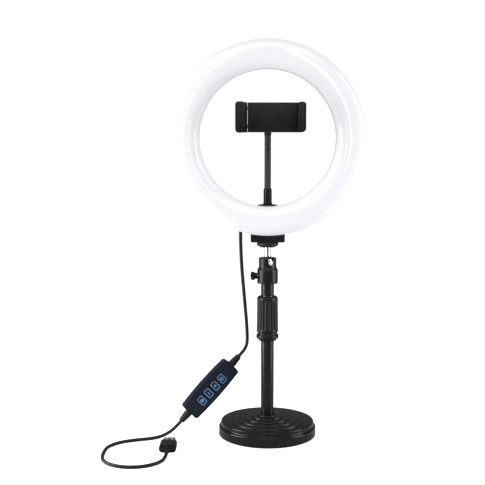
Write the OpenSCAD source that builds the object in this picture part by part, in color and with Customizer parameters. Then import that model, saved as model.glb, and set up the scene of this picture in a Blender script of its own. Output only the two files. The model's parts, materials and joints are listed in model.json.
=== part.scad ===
// Desk ring light on a weighted round base: twist-lock telescopic pole, ball head, ring lamp,
// gooseneck phone clamp, and an inline controller on a cord that ends in a USB-A plug.
// Millimetres. Origin at the centre of the base's underside, +Z up, the lamp faces -Y.

/* [Base] */
// Diameter of the weighted base
base_d = 101.4; // [90:0.2:130]
// Height of the base's side band
base_band_h = 10.4; // [9:0.2:13]
// Height of the upper tier's edge
base_tier_h = 15.8; // [15:0.2:18]
// Height of the base where the pole leaves it
base_h = 22; // [20:0.5:27]
// Wall of the base shell
base_wall = 1.6; // [1.2:0.1:2]
// Number of raised rings on top of the base
base_rings = 4; // [2:1:6]

/* [Pole] */
// Outer diameter of the fixed lower tube
tube_d = 13.5; // [12:0.1:15]
// Wall of the lower tube
tube_wall = 0.65; // [0.5:0.05:0.8]
// Height of the twist sleeve's top above the table
pole_h = 147.2; // [120:0.2:180]
// Length of the twist sleeve
sleeve_h = 37.8; // [32:0.2:48]
// Diameter of the twist sleeve at its lower end
sleeve_d = 22.6; // [21:0.1:28]
// How far the inner tube pulls out
pole_travel = 80; // [40:1:85]
// Length of the cap between the inner tube and the ball head
cap_h = 12.7; // [10:0.1:20]

/* [Ball head] */
// Diameter of the ball head's body
head_d = 21.4; // [20.5:0.1:30]
// Height of the body below the cup
head_h = 15.6; // [14.5:0.1:22]
// Diameter of the cup
cup_d = 18.1; // [17.5:0.1:20]
// Height of the cup
cup_h = 11.4; // [11:0.1:14]
// Diameter of the ball
ball_d = 14; // [11.5:0.1:14.2]
// Diameter of the ball's stem
stem_d = 6; // [5:0.1:6.2]
// Bare length of the stem between the cup and the lock wheel
stem_h = 10.7; // [9:0.1:16]
// Diameter of the lock wheel
wheel_d = 22.2; // [18:0.1:28]

/* [Ring lamp] */
// Outer diameter of the ring
ring_d = 200; // [170:1:260]
// Width of the ring from its hole to its outer edge
ring_band = 30.1; // [28:0.1:38]
// Depth of the domed diffuser
dome_depth = 14; // [10:0.1:18]
// Depth of the rear housing
housing_depth = 10; // [9:0.1:14]
// Wall of the diffuser
diffuser_wall = 1.6; // [1.2:0.1:2]
// LEDs of each colour
led_count = 32; // [16:2:40]
// Thickness of the mounting block under the ring
block_h = 6.8; // [6.5:0.1:9]
// Width of the mounting block
block_w = 35; // [30:0.5:46]

/* [Phone arm] */
// Diameter of the gooseneck
neck_d = 6.9; // [5.5:0.1:7.4]
// Length of the gooseneck between its ferrules
neck_l = 54; // [42:0.5:66]
// Length of the lower ferrule
ferrule_h = 16.2; // [12:0.1:22]
// Diameter of the flange at the arm's foot
flange_d = 20.8; // [16:0.1:26]

/* [Phone clamp] */
// Overall width of the closed clamp
clamp_w = 70; // [62:0.5:86]
// Height of the clamp's jaws
clamp_h = 30; // [26:0.5:38]
// Depth of the clamp's body
clamp_t = 9; // [8:0.1:12]
// Reach of the jaws in front of the body
jaw_reach = 12; // [8:0.5:16]
// How far the jaw slides out
jaw_travel = 30; // [15:1:32]

/* [Controller and plug] */
// Length of the controller's body
control_l = 66.5; // [62:0.5:80]
// Width of the controller at its middle
control_w = 23; // [20:0.5:28]
// Thickness of the controller
control_t = 11; // [10:0.5:14]
// Pitch of the four buttons
button_pitch = 10.2; // [10:0.1:13]
// Diameter of the cord
cord_d = 3.6; // [3:0.1:4.5]

/* [Hidden] */
$fn = 64;

// Clearances
fit = 0.05;        // a shaft in its bore, and a disc in its seat
gap = 0.3;         // between faces of pieces that move past each other

// Colours
black = "#1e1e22";
gloss_black = "#121215";
steel = "#b9bcc2";
brass = "#c9a54e";
nylon = "#eceae2";
opal = "#f1f1f4";
rubber = "#2a2a2d";
navy = "#1b2030";

// Base levels
pad_t = 2;
plate_t = 1.2;
shell_z = 0.8;
plate_top = pad_t + plate_t;
band_r = base_d / 2;
tier_r = band_r - 2.3;
plate_r = band_r - base_wall - 0.1;
weight_top = 12;
hub_wall = 2.2;
hub_z = weight_top + 0.2;
foot_flange_h = 2.2;
tube_z = plate_top + foot_flange_h;
screw_d = 6;
screw_reach = 12;

// Pole
tube_r = tube_d / 2;
bore_r = tube_r - tube_wall;
inner_r = bore_r - 0.1;
inner_wall = 0.8;
hub_r = tube_r + 0.1;
spigot_h = 14.6;
sleeve_z = pole_h - sleeve_h;
collar_h = 9;
collar_z = sleeve_z - collar_h;
collar_d = sleeve_d + 0.5;
thread_h = 12;                 // collar's threaded spigot inside the sleeve
collet_h = 17;
thread_top = sleeve_z + thread_h - gap;
thread_r = tube_r + 2.05;
collet_top = thread_top + collet_h;
cap_z = pole_h + gap;
bush_h = 11;
bush_z = tube_z + spigot_h + 4;
stud_r = 3.15;
stud_h = 4.6;

// Ball head
head_z = cap_z + cap_h;
cup_z = head_z + head_h;
rim_z = cup_z + cup_h;
ball_r = ball_d / 2;
ball_z = rim_z - 0.714 * ball_r;
ball_gap = 0.1;
lip_h = 1;
lip_r = sqrt(pow(ball_r + ball_gap, 2) - pow(rim_z - lip_h - ball_z, 2));
seat_wall = 0.85;
seat_r = ball_r + ball_gap + seat_wall;
seat_z = ball_z - ball_r - 1.5;
seat_rise = 1.5;
notch_w = 6;
notch_depth = 7.6;
notch_turn = 25;
knob_z = head_z + head_h / 2;
lock_r = 2;
plunger_r = 2.5;

// Lock wheel and stem
wheel_cone_h = 2;
wheel_h = 3.3;
wheel_z = rim_z + stem_h;
wheel_top = wheel_z + wheel_cone_h + wheel_h;
stem_r = stem_d / 2;
insert_h = 5.3;

// Ring
ring_r = ring_d / 2;
ring_z = wheel_top + block_h + ring_r;
hole_r = ring_r - ring_band;
mid_r = (ring_r + hole_r) / 2;
band_half = ring_band / 2;
skirt = 1;
dome_power = 2.6;
rim_set = 0.5;                 // how far the housing's rim stays inside the diffuser's
house_out = ring_r - rim_set;
house_in = hole_r + rim_set;
house_wall = 1.8;
back_wall = 2;
led_r = mid_r - 2.2;
board_half = 7.75;
board_y = housing_depth - back_wall - 4;
board_t = 1.2;
case_screws = 6;
case_screw_r = house_out - house_wall - 3.9;
block_screw_turn = 6.5;
block_screw_y = 4;
block_front = -6;
block_back = 8.5;
gland_x = -28;
gland_z = 231;
boot_l = 8;

// Phone arm
arm_y = 4;
arm_z = ring_z - hole_r + 0.2;
flange_t = 2;
ferrule_z = arm_z + flange_t;
neck_z = ferrule_z + ferrule_h;
neck_r = neck_d / 2;
links = 3;
link_l = neck_l / links;
neck_top = neck_z + neck_l;
nose_r = 0.7;                  // flat end of a link, small enough to lean 10 degrees in the gap
elbow_r = 3.7;
elbow_rise = 17.4;
clamp_z = neck_top + elbow_rise;
socket_y = -10;
socket_r = 4.2;
socket_gap = 0.05;
liner_r = 5;
boss_r = 5.9;
nut_r = 6.9;

// Phone clamp
clamp_shift = 1.7;
clamp_left = clamp_shift - clamp_w / 2;
clamp_right = clamp_shift + clamp_w / 2;
jaw_w = 7.3;
fixed_jaw_w = 5.7;
carriage_w = 4.9;
cover_t = 1.5;
back_y = socket_y - 5;
front_y = back_y - clamp_t;
tip_y = front_y - jaw_reach;
body_left = clamp_left + jaw_w + carriage_w + gap;
body_right = clamp_right - fixed_jaw_w;
lip_t = 2;
pad_wall = 1.2;
rod_r = 1.5;
rod_up = 0.3 * clamp_h;
rod_y = (front_y + back_y - cover_t) / 2;
spring_r = 2.2;

// Controller: its own axis is +Z from the lower relief's tip, its buttons face -Y
relief_l = 12;
relief_r = 4;
control_foot = [-90, -10, 17];
control_heading = 20;
control_lean = 45;
control_wall = 1.6;
control_taper = 1.6;
button_w = 11.3;
button_h = 7.6;
button_z = relief_l + control_l / 2 + 1.5 * button_pitch;
button_proud = 0.8;
button_travel = 0.5;

// Plug: its own axis is +Y from the end of the cord
plug_at = [-100, -68.8, 4.4];
plug_w = 16.8;
plug_t = 8;
plug_l = 18.5;
plug_neck_l = 6;
shell_w = 12;
shell_h = 4.5;
shell_l = 12;
shell_wall = 0.3;

// Cord routes, from the lamp's gland to the controller and from the controller to the plug
upper_route = [[-28, 14.2, 216], [-28, 14.2, 208], [-27.8, 14.2, 198], [-27.1, 14.3, 182],
    [-26, 14.5, 166], [-24.6, 14.7, 150], [-23.2, 14.9, 134], [-22, 15, 120], [-21.2, 15.1, 108],
    [-21, 15.1, 98], [-21.5, 14.9, 93.3], [-23.2, 14.3, 89], [-25.9, 13.4, 85.2], [-29.9, 11.9, 81]];
lower_route = [[-90, -10, 17], [-93.3, -11.2, 13.5], [-98, -13, 9.2], [-104, -15.1, 5.4],
    [-111, -17.7, 2.9], [-119.5, -20.8, 1.9], [-129, -24.2, 1.9], [-138, -27.5, 1.9], [-147, -32, 1.9],
    [-155, -39.5, 1.9], [-160.3, -49, 1.9], [-162, -60, 1.9], [-162, -69, 1.9], [-161.7, -77, 1.9],
    [-159.2, -88.5, 1.9], [-152.5, -99, 1.9], [-142, -106, 1.9], [-130, -108.4, 1.9],
    [-118.5, -106, 1.9], [-109, -99.5, 1.9], [-102.5, -90, 2.1], [-100.2, -80, 3.4],
    [-100, -74, 4.2], [-100, -68.8, 4.4]];

// ---- helpers ----

// Profile points (radius, height) turned about the vertical axis
module turned(points) {
    rotate_extrude() polygon(points);
}

// Profile points (radius, depth along +Y) turned about the ring's own axis
module turned_ring(points) {
    translate([0, 0, ring_z]) rotate([-90, 0, 0]) rotate_extrude($fn = 128) polygon(points);
}

// A plain upright tube or disc
module pipe(r_out, r_in, z0, z1) {
    difference() {
        translate([0, 0, z0]) cylinder(r = r_out, h = z1 - z0);
        if (r_in > 0) translate([0, 0, z0 - 1]) cylinder(r = r_in, h = z1 - z0 + 2);
    }
}

// Cylinder along +Y from y0 to y1
module along_y(r, y0, y1) {
    translate([0, y0, 0]) rotate([-90, 0, 0]) cylinder(r = r, h = y1 - y0);
}

// Cylinder along +X from x0 to x1
module along_x(r, x0, x1) {
    translate([x0, 0, 0]) rotate([0, 90, 0]) cylinder(r = r, h = x1 - x0);
}

// Rectangle with round corners, centred
module round_rect(w, h, r) {
    for (x = [-1, 1], y = [-1, 1]) translate([x * (w / 2 - r), y * (h / 2 - r)]) circle(r);
    square([w - 2 * r, h], center = true);
    square([w, h - 2 * r], center = true);
}

// Points of a round corner of radius r about a centre, from angle a to angle b
function corner(centre, r, a, b, n = 4) =
    [for (i = [0:n]) let (t = a + (b - a) * i / n) centre + r * [cos(t), sin(t)]];

// Height of a domed section at radius r from the ring's axis
function dome_y(r, half, depth) =
    depth * pow(1 - pow(min(1, abs(r - mid_r) / half), dome_power), 1 / dome_power);

// The domed section's points, from its inner foot over the crown to its outer foot
function dome(half, depth, n = 28) = [for (i = [0:n])
    let (a = 180 * i / n, u = -cos(a), e = 2 / dome_power)
    [mid_r + half * sign(u) * pow(abs(u), e), -skirt - depth * pow(sin(a), e)]];

// Sweep a round tube of 8 sides along a route
function unit(v) = v / norm(v);
function tangent(p, i) = unit(p[min(i + 1, len(p) - 1)] - p[max(i - 1, 0)]);
function ring_at(c, t, r, side) = let (a = unit(cross(t, side)), b = cross(t, a))
    [for (k = [0:7]) c + r * (cos(45 * k + 22.5) * a + sin(45 * k + 22.5) * b)];
module cord(route, side) {
    rings = len(route);
    ends = [unit(route[1] - route[0]), unit(route[rings - 1] - route[rings - 2])];
    points = [for (i = [0:rings - 1])
        let (t = i == 0 ? ends[0] : i == rings - 1 ? ends[1] : tangent(route, i))
        each ring_at(route[i], t, cord_d / 2, side)];
    faces = concat([[for (k = [0:7]) k]],
        [for (i = [0:rings - 2], k = [0:7]) let (a = 8 * i + k, b = 8 * i + (k + 1) % 8)
            [a, a + 8, b + 8, b]],
        [[for (k = [7:-1:0]) 8 * (rings - 1) + k]]);
    polyhedron(points, faces);
}

// ---- base ----

function shell_outer() = let (n = base_rings, r0 = tier_r - 1, r1 = hub_r + 2.6,
        pitch = (r0 - r1) / (n + 1), rise = (base_h - base_tier_h) / (n + 1))
    concat([[band_r, shell_z]], corner([band_r - 1.6, base_band_h - 1.6], 1.6, 0, 90),
        [[tier_r, base_band_h + 0.8]], corner([tier_r - 1, base_tier_h - 1], 1, 0, 90),
        [for (i = [1:n + 1], s = [0, 1]) let (r = r0 - i * pitch, z = base_tier_h + i * rise)
            s == 0 ? [r + 0.7, z - 0.8 * rise] : [r, z]]);

module base_shell() {
    under = base_h - base_wall - 1;
    color(gloss_black) turned(concat(shell_outer(),
        [[hub_r, base_h], [hub_r, hub_z], [hub_r + hub_wall, hub_z], [hub_r + hub_wall, under],
            [tier_r - base_wall - 1, base_tier_h - base_wall], [tier_r - base_wall, base_tier_h - base_wall - 1],
            [tier_r - base_wall, base_band_h - base_wall],
            [band_r - base_wall, base_band_h - base_wall - 1], [band_r - base_wall, shell_z]]));
}

module base_weight() {
    color("#3a3a3c") pipe(tier_r - base_wall - 0.4, hub_r + hub_wall + 0.5, plate_top, weight_top);
}

module base_plate() {
    color(steel) pipe(plate_r, screw_d / 2 + 0.2, pad_t, plate_top);
}

module foot_pad() {
    color(rubber) pipe(plate_r - 0.5, 7, 0, pad_t);
}

module tube_foot() {
    color(nylon) difference() {
        union() {
            pipe(hub_r + hub_wall, 0, plate_top, tube_z);
            pipe(bore_r - fit, 0, tube_z, tube_z + spigot_h);
        }
        translate([0, 0, plate_top - 1]) cylinder(d = screw_d + 2 * fit, h = screw_reach + 2);
    }
}

module pole_screw() {
    color(steel) difference() {
        union() {
            pipe(5.2, 0, 0.4, pad_t);
            pipe(screw_d / 2, 0, pad_t, plate_top + screw_reach);
        }
        translate([0, 0, -0.4]) cylinder(r = 2, h = 1.9, $fn = 6);
    }
}

// ---- pole ----

module outer_tube() {
    color(gloss_black) pipe(tube_r, bore_r, tube_z, thread_top);
}

module lower_collar() {
    r = collar_d / 2;
    neck = r - 1.4;
    inner = tube_r + fit;
    color(black) turned([[inner, collar_z], [r - 2.2, collar_z], [r - 2.2, collar_z + 1.5],
        [r, collar_z + 2.6], [r, collar_z + 6], [neck, collar_z + 7], [neck, sleeve_z - gap],
        [thread_r, sleeve_z - gap], [thread_r, thread_top], [inner, thread_top]]);
}

module collet() {
    color(nylon) difference() {
        turned([[inner_r + fit, thread_top], [thread_r - 0.4, thread_top], [thread_r - 0.4, collet_top - 8],
            [thread_r - 1.6, collet_top], [inner_r + fit, collet_top]]);
        translate([0, -0.75, thread_top + 3]) cube([thread_r + 1, 1.5, collet_h]);
    }
}

module twist_sleeve() {
    low = sleeve_d / 2;
    high = low - 0.5;
    flutes = 24;
    color(black) difference() {
        turned(concat([[thread_r + 0.1, sleeve_z], [low - 0.6, sleeve_z], [low, sleeve_z + 0.6]],
            corner([high - 3, pole_h - 3], 3, 0, 90),
            [[inner_r + 0.4, pole_h], [inner_r + 0.4, collet_top + 1.5], [thread_r - 1.2, collet_top + 0.8],
                [thread_r + 0.1, collet_top - 7]]));
        for (i = [0:flutes - 1]) rotate([0, 0, (i + 0.5) * 360 / flutes])
            translate([low + 0.35, 0, sleeve_z + 2.4]) cylinder(r = 0.9, h = sleeve_h - 6.4);
    }
}

module tube_end_bush() {
    color(nylon) union() {
        pipe(inner_r + fit, 0, bush_z, bush_z + 3);
        pipe(inner_r - inner_wall - fit, 0, bush_z + 3, bush_z + bush_h);
    }
}

module inner_tube() {
    color(steel) pipe(inner_r, inner_r - inner_wall, bush_z + 3, cap_z + cap_h - 5);
}

module tube_cap() {
    top = cap_z + cap_h;
    color(black) difference() {
        union() {
            pipe(tube_r, 0, cap_z, top);
            pipe(stud_r, 0, top, top + stud_h);
        }
        translate([0, 0, cap_z - 1]) cylinder(r = inner_r + fit, h = cap_h - 4);
    }
}

// ---- ball head ----

module ball_head_body() {
    r = head_d / 2;
    c = cup_d / 2;
    color(black) difference() {
        turned([[0, head_z], [r - 0.6, head_z], [r, head_z + 0.6], [r, cup_z - 2.2], [r - 0.6, cup_z - 1],
            [c, cup_z + 0.8], [c, rim_z - 0.4], [c - 0.4, rim_z], [lip_r, rim_z], [lip_r, rim_z - lip_h],
            [seat_r + fit, rim_z - lip_h - 0.6], [seat_r + fit, seat_z], [plunger_r + fit, seat_z],
            [plunger_r + fit, knob_z], [0, knob_z]]);
        translate([0, 0, head_z - 1]) cylinder(r = stud_r + fit, h = stud_h + 1.2);
        translate([0, 0, knob_z]) along_x(lock_r + fit, -r - 1, 0);
        rotate([0, 0, notch_turn]) translate([0, 0, rim_z - notch_depth + notch_w / 2]) {
            along_y(notch_w / 2, -c - 1, -ball_r + 1);
            translate([-notch_w / 2, -c - 1, 0]) cube([notch_w, c - ball_r + 2, notch_depth]);
        }
    }
}

module lock_knob() {
    tips = 5.2;
    color(black) translate([-head_d / 2, 0, knob_z]) rotate([18, 0, 0]) {
        hull($fn = 32) for (y = [-tips, tips]) {
            translate([-4.4, y, 0]) sphere(r = 2.8);
            translate([-1.7, y * 0.45, 0]) rotate([0, 90, 0]) cylinder(r = 3, h = 1);
        }
    }
}

module lock_screw() {
    color(steel) translate([0, 0, knob_z]) along_x(lock_r, -head_d / 2 - 0.7, -0.2);
}

module brake_plunger() {
    color(brass) pipe(plunger_r, 0, knob_z + lock_r + gap, seat_z - 0.1);
}

module ball_seat() {
    color(nylon) difference() {
        pipe(seat_r, 0, seat_z, ball_z + seat_rise);
        translate([0, 0, ball_z]) sphere(r = ball_r + ball_gap);
    }
}

module ball_stud() {
    color(steel) union() {
        translate([0, 0, ball_z]) sphere(r = ball_r);
        pipe(stem_r, 0, ball_z, wheel_top + insert_h - 0.3);
    }
}

module lock_wheel() {
    r = wheel_d / 2;
    z = wheel_z + wheel_cone_h;
    color(black) turned(concat([[stem_r + fit, wheel_z], [0.64 * r, wheel_z]],
        corner([r - 1.2, z + 1.2], 1.2, -60, 0), corner([r - 1.2, wheel_top - 1.2], 1.2, 0, 90),
        [[stem_r + fit, wheel_top]]));
}

// ---- ring lamp ----

module mount_block() {
    w = block_w / 2;
    top = ring_z - sqrt(pow(ring_r, 2) - pow(w, 2)) + 0.6;
    color(black) difference() {
        translate([0, block_back, 0]) rotate([90, 0, 0]) linear_extrude(block_back - block_front)
            polygon([[-w + 1, wheel_top], [w - 1, wheel_top], [w, wheel_top + 1], [w, top], [-w, top],
                [-w, wheel_top + 1]]);
        translate([0, 0, ring_z]) along_y(ring_r + fit, block_front - 1, 0.05, $fn = 256);
        translate([0, 0, ring_z]) along_y(house_out + fit, 0, block_back + 1, $fn = 256);
        translate([0, 0, wheel_top - 1]) cylinder(r = stem_r + 1.25, h = insert_h + 1);
        block_screw_axes() cylinder(r = 1.5 + fit, h = 9);
    }
}

// The two screws between the housing's wall and the block, pointing outwards from the ring
module block_screw_axes() {
    for (side = [-1, 1]) translate([0, block_screw_y, ring_z]) rotate([0, side * block_screw_turn + 180, 0])
        translate([0, 0, house_out - house_wall - 2]) children();
}

module tripod_insert() {
    color(brass) pipe(stem_r + 1.2, stem_r + fit, wheel_top, wheel_top + insert_h);
}

module block_screws() {
    color(steel) block_screw_axes() {
        cylinder(r = 2.6, h = 1.9);
        cylinder(r = 1.5, h = house_wall + 5);
    }
}

module rear_housing() {
    y1 = housing_depth;
    y0 = y1 - back_wall;
    lip = 1.8;
    step = ring_r - diffuser_wall - 0.2;
    hole_step = hole_r + diffuser_wall + 0.2;
    color(gloss_black) difference() {
        union() {
            turned_ring(concat([[house_out, 0]], corner([house_out - 3, y1 - 3], 3, 0, 90),
                corner([house_in + 3, y1 - 3], 3, 90, 180), [[house_in, 0], [hole_step, 0],
                    [hole_step, -lip], [hole_step + 1.5, -lip], [hole_step + 1.5, 1.5],
                    [house_in + house_wall, 2], [house_in + house_wall, y0], [house_out - house_wall, y0],
                    [house_out - house_wall, 2], [step - 1.5, 1.5], [step - 1.5, -lip], [step, -lip],
                    [step, 0]]));
            board_posts();
            arm_boss();
        }
        case_screw_axes() {
            along_y(1.3, y0 - 1, y1 + 1);
            along_y(2.5, y1 - 1.2, y1 + 1);
        }
        block_screw_axes() cylinder(r = 1.5 + fit, h = 9);
        block_screw_axes() cylinder(r = 2.7, h = 2);
        translate([0, arm_y, arm_z - 9.2]) cylinder(r = 3.3 + fit, h = 12);
        translate([gland_x, 0, gland_z]) along_y(1.9, y0 - 1, y1 + 1);
    }
}

// Posts that carry the board on the housing's back
module board_posts() {
    for (i = [0:7]) translate([0, 0, ring_z]) rotate([0, 45 * i + 22.5, 0])
        translate([0, 0, led_r]) along_y(2.2, board_y + board_t, housing_depth - 1);
}

// Boss at the hole's lower side that holds the arm's brass insert
module arm_boss() {
    z = arm_z - 10;
    translate([-5.5, arm_y - 3.9, z]) cube([11, housing_depth - arm_y + 3, arm_z - z - 1.4]);
}

// The ring of screws through the back, along +Y
module case_screw_axes() {
    for (i = [0:case_screws - 1]) translate([0, 0, ring_z]) rotate([0, (i + 0.5) * 360 / case_screws, 0])
        translate([0, 0, case_screw_r]) children();
}

module front_diffuser() {
    half = band_half - diffuser_wall;
    depth = dome_depth - diffuser_wall;
    y0 = housing_depth - back_wall;
    post_y = -skirt - dome_y(case_screw_r, half, depth) - 0.8;
    color(opal) difference() {
        union() {
            turned_ring(concat([[hole_r, 0]], dome(band_half, dome_depth), [[ring_r, 0],
                [ring_r - diffuser_wall, 0]], [for (i = [28:-1:0]) dome(half, depth)[i]],
                [[hole_r + diffuser_wall, 0]]));
            case_screw_axes() along_y(2.6, post_y, y0);
        }
        case_screw_axes() along_y(1.2, y0 - 9, y0 + 1);
    }
}

module led_board() {
    color("#e9efe6") difference() {
        translate([0, 0, ring_z]) along_y(led_r + board_half, board_y, board_y + board_t);
        translate([0, 0, ring_z]) along_y(led_r - board_half, board_y - 1, board_y + board_t + 1);
        translate([-6, board_y - 1, arm_z - 10.5]) cube([12, board_t + 2, 12]);
    }
}

// Every second LED round the board, starting from one of the two
module leds(first) {
    for (i = [0:led_count - 1]) translate([0, 0, ring_z]) rotate([0, (2 * i + first) * 180 / led_count, 0])
        translate([-1.4, board_y - 0.8, led_r - 1.75]) cube([2.8, 0.8, 3.5]);
}

module cool_leds() {
    color("#f4f7ff") leds(0.5);
}

module warm_leds() {
    color("#ffdf8e") leds(1.5);
}

module housing_screws() {
    y1 = housing_depth;
    color(steel) case_screw_axes() {
        along_y(1.15, y1 - 9, y1 - 1.2);
        along_y(2.3, y1 - 1.2, y1 - 0.1);
    }
}

module cord_gland() {
    x = upper_route[0][0];
    y = upper_route[0][1];
    z = upper_route[0][2];
    color(rubber) {
        difference() {
            translate([x - 5.5, housing_depth, z + boot_l]) cube([11, 8, 14]);
            for (side = [-1, 1]) translate([x + side * 5.5, housing_depth + 8, z + boot_l - 1])
                rotate([0, 0, 45]) cube([3, 3, 40], center = true);
        }
        translate([x, y, z]) cylinder(r1 = cord_d / 2 + 0.7, r2 = cord_d / 2 + 1.2, h = boot_l);
        for (i = [0:2]) translate([x, y, z + 1 + 2.4 * i]) cylinder(r = cord_d / 2 + 1.4, h = 1.1);
        translate([gland_x, 0, gland_z]) along_y(1.8, housing_depth - 3, housing_depth);
    }
}

module arm_insert() {
    color(brass) translate([0, arm_y, 0]) pipe(3.3, 2.55, arm_z - 9.2, arm_z - 1.2);
}

// ---- phone arm ----

module arm_flange() {
    r = flange_d / 2;
    color(black) translate([0, arm_y, 0]) turned([[2.55, arm_z - 0.5], [3.6, arm_z - 0.5], [3.6, arm_z + 0.1],
        [r - 0.8, arm_z + 0.5], [r, arm_z + 0.9], [r - 0.8, arm_z + 1.3], [5, ferrule_z], [2.55, ferrule_z]]);
}

module lower_ferrule() {
    color(gloss_black) translate([0, arm_y, 0]) union() {
        turned([[0, ferrule_z], [4.6, ferrule_z], [4.6, ferrule_z + 1.5], [4.25, neck_z - 0.8],
            [3.6, neck_z], [0, neck_z]]);
        pipe(2.5, 0, arm_z - 8.8, ferrule_z);
    }
}

// One stretch of the gooseneck, ribbed, with ends eased so that it can lean on its neighbour
module gooseneck(number) {
    z0 = neck_z + (number - 1) * link_l + gap / 2;
    z1 = z0 + link_l - gap;
    ease = 0.5;
    ribs = floor((z1 - z0 - 2 * ease) / 2.2);
    pitch = (z1 - z0 - 2 * ease) / ribs;
    color(black) translate([0, arm_y, 0]) turned(concat([[0, z0], [nose_r, z0]],
        [for (i = [0:ribs - 1], s = [0:3]) [neck_r - (s == 0 || s == 3 ? 0.4 : 0),
            z0 + ease + (i + [0.02, 0.25, 0.75, 0.98][s]) * pitch]],
        [[nose_r, z1], [0, z1]]));
}

module gooseneck_1() gooseneck(1);
module gooseneck_2() gooseneck(2);
module gooseneck_3() gooseneck(3);

module upper_ferrule() {
    color(gloss_black) translate([0, arm_y, 0]) union() {
        pipe(elbow_r, 0, neck_top + gap, clamp_z);
        translate([0, 0, clamp_z]) sphere(r = elbow_r);
        translate([0, 0, clamp_z]) along_y(2.1, socket_y - arm_y, 0);
        translate([0, socket_y - arm_y, clamp_z]) sphere(r = socket_r);
    }
}

module socket_liner() {
    color(nylon) translate([0, socket_y, clamp_z]) rotate([-90, 0, 0]) difference() {
        translate([0, 0, -3.6]) cylinder(r = liner_r, h = 5.1);
        sphere(r = socket_r + socket_gap);
    }
}

module socket_nut() {
    y0 = socket_y - 3.5;
    y1 = socket_y + 2.7;
    color(black) translate([0, 0, clamp_z]) difference() {
        along_y(nut_r, y0, y1);
        along_y(boss_r + fit, y0 - 1, socket_y + 1.1);
        along_y(4, y0, y1 + 1);
        along_y(liner_r + 0.1, y0, socket_y + 1.6);
        for (i = [0:11]) rotate([0, 30 * i, 0]) translate([0, 0, nut_r + 0.5]) along_y(0.9, y0 - 1, y1 + 1);
    }
}

// ---- phone clamp ----

// Outline of the fixed jaw and the body, seen from above
module clamp_plan() {
    intersection() {
        translate([body_right, tip_y]) square([fixed_jaw_w, back_y - tip_y]);
        translate([clamp_right - 26, (tip_y + back_y) / 2]) circle(26);
    }
    translate([body_right - lip_t, tip_y]) square([lip_t + 1, 2]);
    translate([body_left, front_y]) square([body_right - body_left + 1, back_y - cover_t - front_y]);
}

module clamp_body() {
    h = clamp_h - 0.6;
    color(black) difference() {
        translate([0, 0, clamp_z - h / 2]) linear_extrude(h) clamp_plan();
        for (side = [-1, 1]) translate([0, rod_y, clamp_z + side * rod_up])
            along_x(rod_r + fit, body_left - 1, body_right - 2);
        translate([body_left - 1, front_y + 1.6, clamp_z - 4])
            cube([body_right - body_left - 3, back_y - front_y, 8]);
    }
}

module clamp_cover() {
    h = clamp_h - 1.2;
    y0 = back_y - cover_t;
    color(black) difference() {
        union() {
            translate([body_left, y0, clamp_z - h / 2]) cube([body_right - body_left, cover_t, h]);
            translate([0, 0, clamp_z]) along_y(boss_r, y0, socket_y + 0.8);
        }
        translate([0, 0, clamp_z]) along_y(liner_r + fit, socket_y - 3.6, socket_y + 2);
        translate([0, 0, clamp_z]) along_y(3, socket_y - 4.6, socket_y);
    }
}

module jaw_rib_pad(x0) {
    h = clamp_h - 4;
    color(rubber) translate([x0, tip_y + 2.4, clamp_z - h / 2]) cube([pad_wall, jaw_reach - 2.8, h]);
}

module fixed_pad() jaw_rib_pad(body_right - pad_wall);
module jaw_pad() jaw_rib_pad(clamp_left + jaw_w);

module clamp_jaw() {
    inner = clamp_left + jaw_w;
    color(black) difference() {
        translate([0, 0, clamp_z - clamp_h / 2]) linear_extrude(clamp_h) {
            intersection() {
                translate([clamp_left, tip_y]) square([jaw_w, back_y - tip_y]);
                translate([clamp_left + 26, (tip_y + back_y) / 2]) circle(26);
            }
            translate([inner - 1, tip_y]) square([lip_t + 1, 2]);
            translate([inner - 1, front_y]) square([carriage_w + 1, back_y - front_y]);
        }
        for (side = [-1, 1]) translate([0, rod_y, clamp_z + side * rod_up])
            along_x(rod_r + fit, inner - 2, inner + carriage_w + 1);
    }
}

module guide_rods() {
    color(steel) for (side = [-1, 1]) translate([0, rod_y, clamp_z + side * rod_up])
        along_x(rod_r, clamp_left + jaw_w - 2, body_right - 5);
}

module jaw_spring() {
    y = (front_y + 1.6 + back_y - cover_t) / 2;
    color(steel) translate([0, y, clamp_z]) difference() {
        along_x(spring_r, body_left, body_right - 4);
        along_x(spring_r - 0.6, body_left - 1, body_right - 3);
    }
}

// ---- controller ----

module in_hand() {
    translate(control_foot) rotate([0, 0, control_heading]) rotate([0, control_lean, 0]) children();
}

// Outline of the controller seen from its buttons, a little slimmer at both ends
module control_outline(inset = 0) {
    bulge = (pow(control_l / 2, 2) + pow(control_taper, 2)) / (2 * control_taper);
    intersection() {
        round_rect(control_w - 2 * inset, control_l - 2 * inset, 5 - inset);
        translate([control_w / 2 - bulge - inset, 0]) circle(bulge, $fn = 256);
        translate([bulge - control_w / 2 + inset, 0]) circle(bulge, $fn = 256);
    }
}

// Half of the case between depths y0 and y1
module control_slab(y0, y1, inset = 0) {
    translate([0, y1, relief_l + control_l / 2]) rotate([90, 0, 0])
        linear_extrude(y1 - y0) control_outline(inset);
}

module button_slab(w, h, y0, y1, number) {
    translate([0, y1, button_z - (number - 1) * button_pitch]) rotate([90, 0, 0])
        linear_extrude(y1 - y0) round_rect(w, h, 2);
}

module cord_holes() {
    cylinder(r = 2.5 + fit, h = 2 * relief_l + control_l);
}

module controller_front() {
    y = -control_t / 2;
    color(navy) in_hand() difference() {
        union() {
            control_slab(y, y + 0.8, 0.8);
            control_slab(y + 0.8, 0);
        }
        control_slab(y + control_wall, 1, control_wall);
        for (n = [1:4]) button_slab(button_w + 2 * gap, button_h + 2 * gap, y - 1, 0, n);
        cord_holes();
    }
}

module controller_back() {
    y = control_t / 2;
    color(navy) in_hand() difference() {
        union() {
            control_slab(0, y - 0.8);
            control_slab(y - 0.8, y, 0.8);
        }
        control_slab(-1, y - control_wall, control_wall);
        cord_holes();
    }
}

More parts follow.
